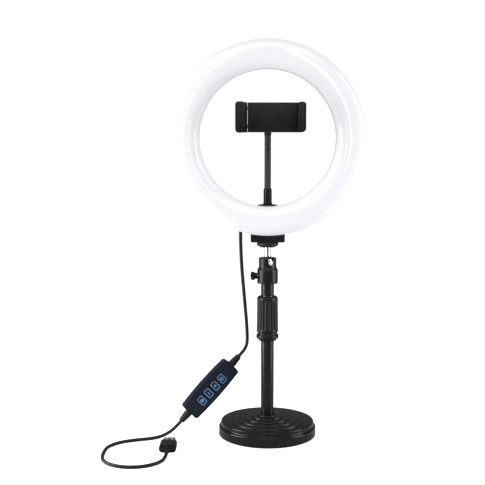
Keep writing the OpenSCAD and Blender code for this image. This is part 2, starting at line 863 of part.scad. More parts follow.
module controller_board() {
    color("#1f5b36") in_hand() difference() {
        union() {
            control_slab(1.2, 2.2, control_wall + 0.2);
            for (n = [1:4]) translate([0, 0, button_z - (n - 1) * button_pitch]) along_y(2, -1.2, 1.2);
            for (side = [-1, 1]) translate([side * 6, 0, relief_l + control_l / 2])
                along_y(1.2, 2.2, control_t / 2 - control_wall);
        }
        cylinder(r = 3.8, h = relief_l + 4);
        translate([0, 0, relief_l + control_l - 4]) cylinder(r = 3.8, h = relief_l);
    }
}

module button(number) {
    y = -control_t / 2;
    color("#27304a") in_hand() {
        button_slab(button_w, button_h, y - button_proud, y + control_wall + gap, number);
        button_slab(button_w + 1.6, button_h + 1.4, y + control_wall + gap, y + control_wall + 1.6, number);
    }
}

module button_1() button(1);
module button_2() button(2);
module button_3() button(3);
module button_4() button(4);

// Ribbed strain relief whose tip is at z = 0 and whose foot passes the case's end wall
module relief() {
    color(rubber) turned(concat([[0, 0], [2.9, 0]],
        [for (i = [0:3], s = [0, 1]) let (r = 3 + 0.25 * i) [r + 0.35 * s, 0.6 + 2.4 * i + 1.4 * s]],
        [[relief_r, relief_l - 1.6], [relief_r, relief_l], [2.5, relief_l],
            [2.5, relief_l + control_wall + 0.2], [3.6, relief_l + control_wall + 0.2],
            [3.6, relief_l + control_wall + 1.4], [0, relief_l + control_wall + 1.4]]));
}

module relief_bottom() {
    in_hand() relief();
}

module relief_top() {
    in_hand() translate([0, 0, 2 * relief_l + control_l]) mirror([0, 0, 1]) relief();
}

// ---- cord and plug ----

module cord_upper() {
    color(rubber) cord(upper_route, [0, 1, 0]);
}

module cord_lower() {
    color(rubber) cord(lower_route, [0, 0, 1]);
}

// Box with round long edges along +Y, centred on the plug's axis
module plug_bar(w, h, r, y0, y1) {
    translate([0, y1, 0]) rotate([90, 0, 0]) linear_extrude(y1 - y0) round_rect(w, h, r);
}

module plug_overmold() {
    foot = plug_neck_l;
    color(rubber) translate(plug_at) {
        along_y(2.85, 0, foot);
        for (i = [0:1]) along_y(3.3, 1.6 + 2.2 * i, 2.7 + 2.2 * i);
        plug_bar(plug_w - 2, plug_t - 1, 2.5, foot, foot + 1);
        plug_bar(plug_w, plug_t, 3, foot + 1, foot + plug_l);
    }
}

module plug_shell() {
    y0 = plug_neck_l + plug_l;
    color(steel) translate(plug_at) difference() {
        plug_bar(shell_w, shell_h, 0.6, y0, y0 + shell_l);
        plug_bar(shell_w - 2 * shell_wall, shell_h - 2 * shell_wall, 0.3, y0 + 0.4, y0 + shell_l + 1);
        for (side = [-1, 1]) translate([side * 2.9 - 1.1, y0 + 5.4, -5]) cube([2.2, 2.2, 10]);
    }
}

module plug_tongue() {
    y0 = plug_neck_l + plug_l + 0.4;
    h = shell_h / 2 - shell_wall - 0.2;
    color(nylon) translate(plug_at) {
        translate([-shell_w / 2 + 0.5, y0, 0.1]) cube([shell_w - 1, shell_l - 1.2, h]);
    }
}

base_shell();
base_weight();
base_plate();
foot_pad();
tube_foot();
pole_screw();
outer_tube();
lower_collar();
collet();
twist_sleeve();
tube_end_bush();
inner_tube();
tube_cap();
ball_head_body();
lock_knob();
lock_screw();
brake_plunger();
ball_seat();
ball_stud();
lock_wheel();
mount_block();
tripod_insert();
block_screws();
rear_housing();
front_diffuser();
led_board();
cool_leds();
warm_leds();
housing_screws();
cord_gland();
arm_insert();
arm_flange();
lower_ferrule();
gooseneck_1();
gooseneck_2();
gooseneck_3();
upper_ferrule();
socket_liner();
socket_nut();
clamp_body();
clamp_cover();
fixed_pad();
clamp_jaw();
jaw_pad();
guide_rods();
jaw_spring();
controller_front();
controller_back();
controller_board();
button_1();
button_2();
button_3();
button_4();
relief_top();
relief_bottom();
cord_upper();
cord_lower();
plug_overmold();
plug_shell();
plug_tongue();
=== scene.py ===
# %% [markdown]
# # A desk ring light
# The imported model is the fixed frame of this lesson. Every piece made here goes where that frame says,
# rides on one of its bodies, and is worked up to the look of the real thing: a glossy opal ring,
# satin and glossy black plastics, a plated ball stem and soft black cords. Most sizes are read from the
# frame's own boxes and hinges, in millimetres, so that each piece lands on the part it stands for.

# %% Load the frame
import json
import math

import bpy
from mathutils import Matrix, Vector

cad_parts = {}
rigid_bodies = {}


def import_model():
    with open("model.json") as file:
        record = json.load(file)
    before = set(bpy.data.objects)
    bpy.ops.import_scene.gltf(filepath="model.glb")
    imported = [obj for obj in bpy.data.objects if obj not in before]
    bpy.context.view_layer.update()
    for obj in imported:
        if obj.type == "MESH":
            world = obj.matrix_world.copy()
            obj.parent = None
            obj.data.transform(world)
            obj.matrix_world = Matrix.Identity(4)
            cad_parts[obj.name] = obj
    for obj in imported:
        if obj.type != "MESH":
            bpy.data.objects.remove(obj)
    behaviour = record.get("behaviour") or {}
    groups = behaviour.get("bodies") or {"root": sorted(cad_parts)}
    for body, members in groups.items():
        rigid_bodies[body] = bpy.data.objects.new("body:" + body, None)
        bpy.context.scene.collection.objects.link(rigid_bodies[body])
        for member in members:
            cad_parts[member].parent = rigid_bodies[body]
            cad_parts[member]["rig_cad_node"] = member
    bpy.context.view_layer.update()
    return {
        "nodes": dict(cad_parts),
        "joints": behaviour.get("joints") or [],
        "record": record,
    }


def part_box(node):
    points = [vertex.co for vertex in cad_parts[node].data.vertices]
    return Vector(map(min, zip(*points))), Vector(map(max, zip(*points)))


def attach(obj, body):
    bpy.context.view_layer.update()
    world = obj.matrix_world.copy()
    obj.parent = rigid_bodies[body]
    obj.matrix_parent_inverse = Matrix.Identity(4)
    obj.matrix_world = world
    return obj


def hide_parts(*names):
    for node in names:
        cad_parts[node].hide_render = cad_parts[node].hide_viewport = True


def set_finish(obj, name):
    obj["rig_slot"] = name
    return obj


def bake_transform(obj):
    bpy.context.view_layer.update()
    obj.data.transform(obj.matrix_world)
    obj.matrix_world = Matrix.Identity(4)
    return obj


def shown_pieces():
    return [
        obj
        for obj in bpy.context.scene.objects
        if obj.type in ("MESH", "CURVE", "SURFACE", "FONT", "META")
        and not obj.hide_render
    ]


MM = 0.001
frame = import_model()
nodes = frame["nodes"]
joints = {joint["name"]: joint for joint in frame["joints"]}


def span(node, axis):
    """Lowest and highest place of a CAD node along an axis, in millimetres."""
    return tuple(round(corner["XYZ".index(axis)] / MM, 3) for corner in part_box(node))


def heights(node):
    """Lowest and highest height of a CAD node, in millimetres."""
    return span(node, "Z")


def half_width(node):
    """How far a CAD node reaches to the right of the middle: the radius of a turned one."""
    return span(node, "X")[1]


def hinge_height(joint):
    """Height of a joint's hinge, in millimetres."""
    return round(joints[joint]["pos_m"][2] / MM, 3)


# %% [markdown]
# ## Camera
# A product of this kind is shown from nearly straight in front. The eye stands a little below the
# ring's centre and looks slightly down at the base, and a fairly long lens keeps the ring round. The
# camera stands to one side by as much as it aims to that side, so that it faces the light squarely
# with the cord in view.

# %% Camera
SIDEWAYS = -0.026
STAND_BACK = 0.92
EYE_HEIGHT = 0.285
AIM_HEIGHT = 0.2027

camera_data = bpy.data.cameras.new("camera")
camera_data.lens = 66.3
camera_data.sensor_width = 36
camera_data.clip_start = 0.01
camera = bpy.data.objects.new("camera", camera_data)
bpy.context.scene.collection.objects.link(camera)
camera.location = (SIDEWAYS, -STAND_BACK, EYE_HEIGHT)
aim = Vector((SIDEWAYS, 0.0, AIM_HEIGHT))
camera.rotation_euler = (aim - camera.location).to_track_quat("-Z", "Y").to_euler()
bpy.context.scene.camera = camera
looks_down = math.degrees(math.atan2(EYE_HEIGHT - AIM_HEIGHT, STAND_BACK))
print("camera looks down by", round(looks_down, 1), "degrees")

# %% [markdown]
# ## Cords
# A real cord is a round wire of fixed length that takes a smooth line. It could be a curve object, but
# a mesh tube can bend with a joint, so each cord here is a curve made a mesh. The upper cord hangs from
# the gland behind the ring to the controller. The lower cord runs down from the controller to the
# table, makes one open loop and ends at its plug.
# The route points are the frame's own, and a Catmull-Rom line runs through them.

# %% Routes of the cords
CORD_D = 3.6 * MM
upper_route = [
    (-28, 14.2, 216), (-28, 14.2, 208), (-27.8, 14.2, 198), (-27.1, 14.3, 182), (-26, 14.5, 166),
    (-24.6, 14.7, 150), (-23.2, 14.9, 134), (-22, 15, 120), (-21.2, 15.1, 108), (-21, 15.1, 98),
    (-21.5, 14.9, 93.3), (-23.2, 14.3, 89), (-25.9, 13.4, 85.2), (-29.9, 11.9, 81),
]
lower_route = [
    (-90, -10, 17), (-93.3, -11.2, 13.5), (-98, -13, 9.2), (-104, -15.1, 5.4), (-111, -17.7, 2.9),
    (-119.5, -20.8, 1.9), (-129, -24.2, 1.9), (-138, -27.5, 1.9), (-147, -32, 1.9),
    (-155, -39.5, 1.9), (-160.3, -49, 1.9), (-162, -60, 1.9), (-162, -69, 1.9), (-161.7, -77, 1.9),
    (-159.2, -88.5, 1.9), (-152.5, -99, 1.9), (-142, -106, 1.9), (-130, -108.4, 1.9),
    (-118.5, -106, 1.9), (-109, -99.5, 1.9), (-102.5, -90, 2.1), (-100.2, -80, 3.4),
    (-100, -74, 4.2), (-100, -68.8, 4.4),
]


def smooth_line(route, steps=6):
    """Points in metres of a smooth line through a route in millimetres."""
    points = [Vector(p) * MM for p in route]
    ends = [2 * points[0] - points[1]] + points + [2 * points[-1] - points[-2]]
    line = []
    for a, b, c, d in zip(ends, ends[1:], ends[2:], ends[3:]):
        for i in range(steps):
            t = i / steps
            line.append(0.5 * (2 * b + (c - a) * t + (2 * a - 5 * b + 4 * c - d) * t ** 2
                               + (3 * b - a - 3 * c + d) * t ** 3))
    return line + [points[-1]]


def line_length(line):
    """Length of a line, from point to point."""
    return sum((b - a).length for a, b in zip(line, line[1:]))


upper_line = smooth_line(upper_route)
lower_line = smooth_line(lower_route)
print("cord lengths", round(line_length(upper_line), 4), round(line_length(lower_line), 4))


# %% Wire along a line
def start_clean():
    """Back to object mode with nothing selected."""
    if bpy.context.mode != "OBJECT":
        bpy.ops.object.mode_set(mode="OBJECT")
    bpy.ops.object.select_all(action="DESELECT")


def wire(name, line, thickness, sides):
    """A round wire with closed ends that follows a line, as a mesh with smooth sides."""
    data = bpy.data.curves.new(name, "CURVE")
    data.dimensions = "3D"
    data.bevel_depth = thickness / 2
    data.bevel_resolution = sides
    data.use_fill_caps = True
    spline = data.splines.new("POLY")
    spline.points.add(len(line) - 1)
    for point, place in zip(spline.points, line):
        point.co = (*place, 1)
    curve = bpy.data.objects.new(name, data)
    bpy.context.scene.collection.objects.link(curve)
    start_clean()
    curve.select_set(True)
    bpy.context.view_layer.objects.active = curve
    bpy.ops.object.convert(target="MESH")
    bpy.ops.object.shade_smooth_by_angle(angle=math.radians(50))
    return bpy.context.object


# %% Upper and lower cord
cord_up = wire("upper_cord", upper_line, CORD_D, sides=6)
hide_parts("cord_upper")
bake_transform(cord_up)
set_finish(cord_up, "rubber")

cord_low = wire("lower_cord", lower_line, CORD_D, sides=6)
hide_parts("cord_lower")
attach(cord_low, "seat")
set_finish(cord_low, "rubber")
print("cords", [(cord.name, len(cord.data.polygons)) for cord in (cord_up, cord_low)])

# %% [markdown]
# ## Tools of the lathe
# Most of this object is turned. A turned piece could be a stack of cylinders, but then each step would
# be a separate shell. Here it starts as one vertex, which is extruded along the outline and spun about
# the axis. Real edges are never quite sharp, so each corner of an outline is eased first: the highlight
# on that small round is what makes plastic look moulded.


# %% Outlines
def eased(outline, radius, closed=True, steps=3):
    """The same outline with each corner rounded by up to a radius."""
    made = []
    count = len(outline)
    for i, corner in enumerate(outline):
        if not closed and i in (0, count - 1):
            made.append(corner)
            continue
        here = Vector(corner)
        back = Vector(outline[i - 1]) - here
        ahead = Vector(outline[(i + 1) % count]) - here
        reach = min(radius, 0.45 * back.length, 0.45 * ahead.length)
        a = here + back.normalized() * reach
        b = here + ahead.normalized() * reach
        for k in range(steps + 1):
            t = k / steps
            made.append(tuple(a * (1 - t) ** 2 + here * 2 * t * (1 - t) + b * t ** 2))
    return made


def arc(centre, radius, first, last, count):
    """Points of a round stretch between two angles in degrees."""
    made = []
    for i in range(count + 1):
        turn = math.radians(first + (last - first) * i / count)
        made.append((centre[0] + radius * math.cos(turn), centre[1] + radius * math.sin(turn)))
    return made


print("a square with eased corners has", len(eased([(0, 0), (1, 0), (1, 1), (0, 1)], 0.2)), "points")


# %% Spin an outline
LATHES = {
    "X": ((1, 0, 0), lambda radius, along: (along, 0, radius)),
    "Y": ((0, 1, 0), lambda radius, along: (radius, along, 0)),
    "Z": ((0, 0, 1), lambda radius, along: (radius, 0, along)),
}


def finished(piece, sharp=35):
    """Faces outwards, place in the mesh, smooth except over sharp edges."""
    if bpy.context.mode == "OBJECT":
        bpy.ops.object.mode_set(mode="EDIT")
    bpy.ops.mesh.select_all(action="SELECT")
    bpy.ops.mesh.normals_make_consistent(inside=False)
    bpy.ops.object.mode_set(mode="OBJECT")
    bpy.ops.object.transform_apply(location=True, rotation=True, scale=True)
    bpy.ops.object.shade_smooth_by_angle(angle=math.radians(sharp))
    return piece


def turned(name, outline, centre=(0, 0, 0), axis="Z", steps=96, closed=True, sharp=35):
    """A lathed piece from (radius, distance along the axis) pairs in millimetres."""
    start_clean()
    way, lay = LATHES[axis]
    points = [(Vector(centre) + Vector(lay(radius, along))) * MM for radius, along in outline]
    bpy.ops.mesh.primitive_plane_add(size=MM, location=points[0])
    piece = bpy.context.object
    piece.name = name
    bpy.ops.object.mode_set(mode="EDIT")
    bpy.ops.mesh.merge(type="CENTER")
    here = points[0]
    for there in points[1:] + (points[:1] if closed else []):
        bpy.ops.mesh.extrude_region_move(TRANSFORM_OT_translate={"value": there - here})
        here = there
    bpy.ops.mesh.select_all(action="SELECT")
    bpy.ops.mesh.remove_doubles(threshold=1e-7)
    bpy.ops.mesh.spin(steps=steps, angle=2 * math.pi, center=Vector(centre) * MM, axis=way)
    bpy.ops.mesh.select_all(action="SELECT")
    bpy.ops.mesh.remove_doubles(threshold=1e-6)
    return finished(piece, sharp)


def stand_in_for(piece, body, slot_name, *cad_nodes):
    """Rides a piece on its body in place of CAD nodes, and prints its size in millimetres."""
    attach(piece, body)
    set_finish(piece, slot_name)
    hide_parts(*cad_nodes)
    size = [round(side / MM, 1) for side in piece.dimensions]
    print(piece.name, "on", body, size, len(piece.data.polygons), "faces")


# %% [markdown]
# ## Diffuser
# The ring's face is one moulding of white opal plastic, a shell with a full, squarish dome. Half an
# ellipse would look too pointed, so its curve is a superellipse, which is flatter on top, and both
# sides of the wall follow it.

# %% Diffuser
RING_R = half_width("front_diffuser")
RING_Z = sum(heights("front_diffuser")) / 2
RING_BAND = 30.1
HOLE_R = RING_R - RING_BAND
DIFFUSER_WALL = 1.6
DOME_DEPTH = 14
DOME_FOOT = -1
DOME_POWER = 2.6


def dome(wall, count=40):
    """Section of the dome, at a depth below its outside, from its inner foot to its outer foot."""
    half = RING_BAND / 2 - wall
    depth = DOME_DEPTH - wall
    power = 2 / DOME_POWER
    made = []
    for i in range(count + 1):
        turn = math.pi * i / count
        across = -math.cos(turn)
        made.append((RING_R - RING_BAND / 2 + half * math.copysign(abs(across) ** power, across),
                     DOME_FOOT - depth * max(0.0, math.sin(turn)) ** power))
    return made


face = [(HOLE_R, 0), *dome(0), (RING_R, 0), (RING_R - DIFFUSER_WALL, 0)]
face += [*reversed(dome(DIFFUSER_WALL)), (HOLE_R + DIFFUSER_WALL, 0)]
diffuser = turned("opal_diffuser", face, (0, 0, RING_Z), "Y", steps=192, sharp=40)
stand_in_for(diffuser, "light_head", "opal", "front_diffuser")

# %% [markdown]
# ## Base
# The foot is a glossy black disc in two tiers, with raised rings on top that catch the light as fine
# circles, and a hub round the pole. Its underside is hollow and follows the top at one wall's
# thickness. The rings repeat, so a loop steps them inwards and upwards from the tier's edge to the hub.

# %% Base shell
POLE_R = half_width("outer_tube")
BASE_LOW, BASE_TOP = heights("base_shell")
BAND_R = half_width("base_shell")
BAND_TOP = 10.4
TIER_R = BAND_R - 2.3
TIER_TOP = 15.8
HUB_R = POLE_R + 0.1
HUB_FOOT = heights("base_weight")[1] + 0.2
BASE_WALL = 1.6
INNER_EASE = 1
BASE_RINGS = 4

ring_step = (TIER_R - 1 - (HUB_R + 2.6)) / (BASE_RINGS + 1)
ring_rise = (BASE_TOP - TIER_TOP) / (BASE_RINGS + 1)
base_outline = [(BAND_R, BASE_LOW), (BAND_R, BAND_TOP), (TIER_R, BAND_TOP + 0.8), (TIER_R, TIER_TOP)]
for i in range(1, BASE_RINGS + 2):
    r = TIER_R - 1 - i * ring_step
    z = TIER_TOP + i * ring_rise
    base_outline += [(r + 0.9, z - 0.8 * ring_rise), (r + 0.35, z + 0.05), (r - 0.2, z)]
tier_bore = TIER_R - BASE_WALL
band_bore = BAND_R - BASE_WALL
base_outline += [(HUB_R, BASE_TOP), (HUB_R, HUB_FOOT), (HUB_R + 2.2, HUB_FOOT),
                 (HUB_R + 2.2, BASE_TOP - BASE_WALL - INNER_EASE),
                 (tier_bore - INNER_EASE, TIER_TOP - BASE_WALL),
                 (tier_bore, TIER_TOP - BASE_WALL - INNER_EASE), (tier_bore, BAND_TOP - BASE_WALL),
                 (band_bore, BAND_TOP - BASE_WALL - INNER_EASE), (band_bore, BASE_LOW)]
base = turned("base_cover", eased(base_outline, 1.1, steps=4), steps=160, sharp=60)
stand_in_for(base, "stand", "gloss_black", "base_shell")

# %% [markdown]
# ## Twist sleeve
# The sleeve that locks the pole is a moulded grip with upright flutes. They could be cut out one by
# one, but a moulded flute fades softly at its ends. So the sleeve is turned plain, and each vertex of
# its side moves in by a smooth wave that fades at both ends.


# %% Press a pattern into a turned side
def press_in(piece, depth_at):
    """Moves each vertex towards the upright axis by depth_at(radius, turn, height) millimetres."""
    for vertex in piece.data.vertices:
        x, y, z = (c / MM for c in vertex.co)
        radius = math.hypot(x, y)
        depth = depth_at(radius, math.atan2(y, x), z)
        if depth:
            vertex.co.x *= 1 - depth / radius
            vertex.co.y *= 1 - depth / radius


def wave(turn, count):
    """A smooth wave between 0 and 1, a number of times round."""
    return 0.5 + 0.5 * math.cos(count * turn)


# %% Twist sleeve
SLEEVE_LOW, SLEEVE_HIGH = heights("twist_sleeve")
SLEEVE_R = half_width("twist_sleeve")
SLEEVE_TAPER = 0.5
TAPER_RUN = 38
SIDE_STEPS = 42
SHOULDER_R = 3
SLEEVE_BORE = 8.9
MOUTH_R = half_width("inner_tube") + 0.4
FLUTES = 20
FLUTE_DEPTH = 0.75
FLUTES_BEYOND = 10.2
FLUTE_FADE = 1.6

sleeve_outline = [(SLEEVE_BORE, SLEEVE_LOW), (SLEEVE_R - 0.4, SLEEVE_LOW), (SLEEVE_R, SLEEVE_LOW + 0.8)]
for i in range(SIDE_STEPS + 1):
    up = 2 + 0.75 * i
    sleeve_outline.append((SLEEVE_R - SLEEVE_TAPER * up / TAPER_RUN, SLEEVE_LOW + up))
shoulder_centre = (SLEEVE_R - SLEEVE_TAPER - SHOULDER_R, SLEEVE_HIGH - SHOULDER_R)
sleeve_outline += arc(shoulder_centre, SHOULDER_R, 15, 90, 5)
sleeve_outline += [(MOUTH_R, SLEEVE_HIGH), (MOUTH_R, SLEEVE_HIGH - 7.6),
                   (MOUTH_R + 1.2, SLEEVE_HIGH - 8.3), (SLEEVE_BORE, SLEEVE_HIGH - 16.1)]


def flute(radius, turn, height):
    """Depth of the flutes: none inside the bore, and fading at both ends."""
    if radius < FLUTES_BEYOND:
        return 0
    rise = min(height - (SLEEVE_LOW + 2.2), SLEEVE_HIGH - 3.6 - height) / FLUTE_FADE
    fade = max(0.0, min(1.0, rise))
    return fade * fade * (3 - 2 * fade) * FLUTE_DEPTH * wave(turn, FLUTES) ** 1.5


sleeve = turned("grip_sleeve", sleeve_outline, steps=FLUTES * 12, sharp=50)
press_in(sleeve, flute)
stand_in_for(sleeve, "sleeve", "black_plastic", "twist_sleeve")

# %% [markdown]
# ## Pole and collar
# The pole is a painted tube with a plated one that slides in it. Each could be a cylinder with a
# hole, but a turned wall has its bore from the start. The collar under the sleeve carries the
# sleeve's thread, and the cap on top of the plated tube takes the ball head.


# %% Two tubes
def tube(name, node, wall):
    """A turned tube as tall and as wide as a CAD node."""
    low, high = heights(node)
    outer = half_width(node)
    inner = outer - wall
    return turned(name, [(outer, low), (outer, high), (inner, high), (inner, low)], steps=72)


POLE_WALL = 0.65
PLATED_WALL = 0.8
stand_in_for(tube("pole_tube", "outer_tube", POLE_WALL), "stand", "painted_black", "outer_tube")
stand_in_for(tube("plated_tube", "inner_tube", PLATED_WALL), "post", "chrome", "inner_tube")

# %% Collar
COLLAR_LOW, COLLAR_HIGH = heights("lower_collar")
COLLAR_R = half_width("lower_collar")
THREAD_R = 8.8
COLLAR_FOOT_R = COLLAR_R - 2.2
COLLAR_HEAD_R = COLLAR_R - 1.4
THREAD_LOW = COLLAR_LOW + 8.7
collar_bore = POLE_R + 0.05
collar_outline = [(collar_bore, COLLAR_LOW), (COLLAR_FOOT_R, COLLAR_LOW), (COLLAR_FOOT_R, COLLAR_LOW + 1.5),
                  (COLLAR_R, COLLAR_LOW + 2.6), (COLLAR_R, COLLAR_LOW + 6), (COLLAR_HEAD_R, COLLAR_LOW + 7),
                  (COLLAR_HEAD_R, THREAD_LOW), (THREAD_R, THREAD_LOW), (THREAD_R, COLLAR_HIGH),
                  (collar_bore, COLLAR_HIGH)]
collar = turned("thread_collar", eased(collar_outline, 0.5), steps=96, sharp=60)
stand_in_for(collar, "stand", "black_plastic", "lower_collar")

# %% Cap
HEAD_LOW, HEAD_HIGH = heights("ball_head_body")
CAP_LOW, CAP_HIGH = heights("tube_cap")
CAP_R = half_width("tube_cap")
NOSE_R = 3.15
NOSE_BORE = 2.2
cap_bore = half_width("inner_tube") + 0.05
cap_floor = heights("inner_tube")[1] + 1
cap_outline = [(cap_bore, CAP_LOW), (CAP_R, CAP_LOW), (CAP_R, HEAD_LOW), (NOSE_R, HEAD_LOW),
               (NOSE_R, CAP_HIGH), (NOSE_BORE, CAP_HIGH), (NOSE_BORE, cap_floor), (cap_bore, cap_floor)]
cap = turned("tube_cap_piece", eased(cap_outline, 0.35), steps=72, sharp=60)
stand_in_for(cap, "post", "black_plastic", "tube_cap")

# %% [markdown]
# ## Ball head
# The head is a turned block with a softly rounded shoulder under its cup. A slot in the cup's rim lets
# the stem lie down. The slot could be modelled into the outline's faces, but its end is round, so it is
# cut with a turned cutter and a block by a Boolean modifier, as a miller would.


# %% Blocks and cutters
def block(name, low, high):
    """A plain block between two corners in millimetres."""
    start_clean()
    low, high = Vector(low), Vector(high)
    bpy.ops.mesh.primitive_cube_add(size=1, location=(low + high) / 2 * MM, scale=(high - low) * MM)
    piece = bpy.context.object
    piece.name = name
    bpy.ops.object.transform_apply(location=True, rotation=True, scale=True)
    return piece


def slab(name, low, high, edge, segments=3):
    """A block with all its edges eased."""
    piece = block(name, low, high)
    bpy.ops.object.mode_set(mode="EDIT")
    bpy.ops.mesh.bevel(offset=edge * MM, segments=segments, affect="EDGES")
    return finished(piece)


def cut(piece, cutter, turn=0):
    """Takes a cutter out of a piece, after turning it about the upright axis."""
    cutter.data.transform(Matrix.Rotation(math.radians(turn), 4, "Z"))
    start_clean()
    bpy.context.view_layer.objects.active = piece
    piece.select_set(True)
    boolean = piece.modifiers.new("cut", "BOOLEAN")
    boolean.object = cutter
    boolean.operation = "DIFFERENCE"
    bpy.ops.object.modifier_apply(modifier="cut")
    bpy.data.objects.remove(cutter)
    bpy.ops.object.shade_smooth_by_angle(angle=math.radians(40))


def round_cutter(name, radius, first, last, centre, axis, steps):
    """A solid turned cutter from one place along its axis to another."""
    outline = [(0, first), (radius, first), (radius, last), (0, last)]
    return turned(name, outline, centre, axis, steps=steps, closed=False)


# %% Ball head
HEAD_R = half_width("ball_head_body")
CUP_R = 9.05
CUP_BORE = 8
CUP_FLOOR = HEAD_LOW + 13.5
LIP_R = 5.87
nose_hole = NOSE_R + 0.05
nose_room = HEAD_LOW + 5.8
plunger_hole = half_width("brake_plunger") + 0.05
head_outline = [(nose_hole, HEAD_LOW), (HEAD_R, HEAD_LOW), (HEAD_R, HEAD_LOW + 14.4),
                (CUP_R, HEAD_LOW + 16.8), (CUP_R, HEAD_HIGH), (LIP_R, HEAD_HIGH), (LIP_R, HEAD_HIGH - 1),
                (CUP_BORE, HEAD_HIGH - 1.6), (CUP_BORE, CUP_FLOOR), (plunger_hole, CUP_FLOOR),
                (plunger_hole, nose_room), (nose_hole, nose_room)]
head = turned("ball_head", eased(head_outline, 1.2, steps=5), steps=120, sharp=50)
print("head turned,", len(head.data.polygons), "faces before its cuts")

# %% Slot and screw hole of the head
KNOB_Z = hinge_height("knob_turn")
SCREW_HOLE_R = 2.05
SLOT_HALF = 3
SLOT_END_Z = HEAD_HIGH - 4.6
SLOT_TURN = 25
SLOT_FROM, SLOT_TO = -9.8, -6.1

slot_end = round_cutter("slot_end", SLOT_HALF, SLOT_FROM, SLOT_TO, (0, 0, SLOT_END_Z), "Y", 48)
cut(head, slot_end, SLOT_TURN)
slot_top = slab("slot_top", (-SLOT_HALF, SLOT_FROM, SLOT_END_Z), (SLOT_HALF, SLOT_TO, HEAD_HIGH + 0.8),
                0.01, 1)
cut(head, slot_top, SLOT_TURN)
cut(head, round_cutter("screw_hole", SCREW_HOLE_R, -11.5, 0, (0, 0, KNOB_Z), "X", 32))
stand_in_for(head, "post", "black_plastic", "ball_head_body")

# %% [markdown]
# ## Ball stem and lock wheel
# A plated ball and stem stand in the head. They are one bar of metal, so they are one turned piece. A
# knurled wheel on the stem locks against the block under the ring. Its knurl could be cut groove by
# groove, but a fine wave pressed into the rim does it at once. Its top stays a tenth of a millimetre
# clear of the block.

# %% Ball stem
BALL_LOW, STEM_TOP = heights("ball_stud")
BALL_R = half_width("ball_stud")
STEM_R = 3
stem_starts = math.degrees(math.acos(STEM_R / BALL_R))
stem_outline = arc((0, BALL_LOW + BALL_R), BALL_R, -90, stem_starts, 32)
stem_outline += [(STEM_R, STEM_TOP - 0.6), (STEM_R - 0.6, STEM_TOP), (0, STEM_TOP)]
stem = turned("ball_stem", stem_outline, steps=72, closed=False, sharp=40)
stand_in_for(stem, "light_head", "chrome", "ball_stud")

# %% Lock wheel
WHEEL_LOW, WHEEL_HIGH = heights("lock_wheel")
WHEEL_R = half_width("lock_wheel")
WHEEL_BORE = STEM_R + 0.05
KNURLS = 36
KNURL_DEPTH = 0.25
wheel_top = WHEEL_HIGH - 0.1
wheel_outline = [(WHEEL_BORE, WHEEL_LOW), (WHEEL_R - 4, WHEEL_LOW), (WHEEL_R - 0.7, WHEEL_LOW + 1.6),
                 (WHEEL_R, WHEEL_LOW + 2.7), (WHEEL_R, wheel_top - 1), (WHEEL_R - 0.9, wheel_top),
                 (WHEEL_BORE, wheel_top)]


def knurl(radius, turn, height):
    """Depth of the knurl: only on the rim."""
    return KNURL_DEPTH * wave(turn, KNURLS) if radius > WHEEL_R - 0.5 else 0


wheel = turned("lock_ring", eased(wheel_outline, 0.6), steps=144, sharp=60)
press_in(wheel, knurl)
stand_in_for(wheel, "wheel", "black_plastic", "lock_wheel")


# %% [markdown]
# ## Arm fittings
# A thin flange seats the arm on the ring's inner edge, a glossy ferrule grips the foot of the hose, and
# another one at its top carries the small ball that the clamp turns on. Each is turned, and a fitting
# with a second shape on it, such as a stud, is two turned parts joined in one piece.

# %% Join parts
def joined(name, parts):
    """Several parts as one piece."""
    start_clean()
    for part in parts:
        part.select_set(True)
    bpy.context.view_layer.objects.active = parts[0]
    bpy.ops.object.join()
    parts[0].name = name
    return parts[0]


# %% Flange
ARM_FOOT = (0, 4, 0)
STUD_R = 2.5
FLANGE_LOW, FLANGE_HIGH = heights("arm_flange")
FLANGE_R = half_width("arm_flange")
stud_hole = STUD_R + 0.05
flange_outline = [(stud_hole, FLANGE_LOW), (3.6, FLANGE_LOW), (FLANGE_R - 0.8, FLANGE_LOW + 0.9),
                  (FLANGE_R, FLANGE_LOW + 1.4), (FLANGE_R - 0.8, FLANGE_LOW + 1.8), (5, FLANGE_HIGH),
                  (stud_hole, FLANGE_HIGH)]
flange = turned("arm_washer", eased(flange_outline, 0.3), ARM_FOOT, steps=72, sharp=60)
stand_in_for(flange, "arm", "black_plastic", "arm_flange")

# %% Lower ferrule
STUD_LOW = heights("lower_ferrule")[0] - 0.3
FERRULE_LOW = FLANGE_HIGH
FERRULE_HIGH = heights("lower_ferrule")[1]
FERRULE_R = half_width("lower_ferrule")
ferrule_outline = [(0, FERRULE_LOW), (FERRULE_R, FERRULE_LOW), (FERRULE_R, FERRULE_LOW + 1.5),
                   (FERRULE_R - 0.3, FERRULE_LOW + 1.9), (FERRULE_R - 0.35, FERRULE_HIGH - 1.2),
                   (FERRULE_R - 1, FERRULE_HIGH), (0, FERRULE_HIGH)]
ferrule = turned("arm_ferrule", eased(ferrule_outline, 0.5, closed=False), ARM_FOOT, steps=64,
                 closed=False, sharp=60)
stud_outline = [(0, STUD_LOW), (STUD_R - 0.2, STUD_LOW), (STUD_R, STUD_LOW + 0.4),
                (STUD_R, FERRULE_LOW + 0.1)]
stud = turned("arm_stud", stud_outline, ARM_FOOT, steps=40, closed=False)
stand_in_for(joined("arm_ferrule", [ferrule, stud]), "arm", "gloss_black", "lower_ferrule")

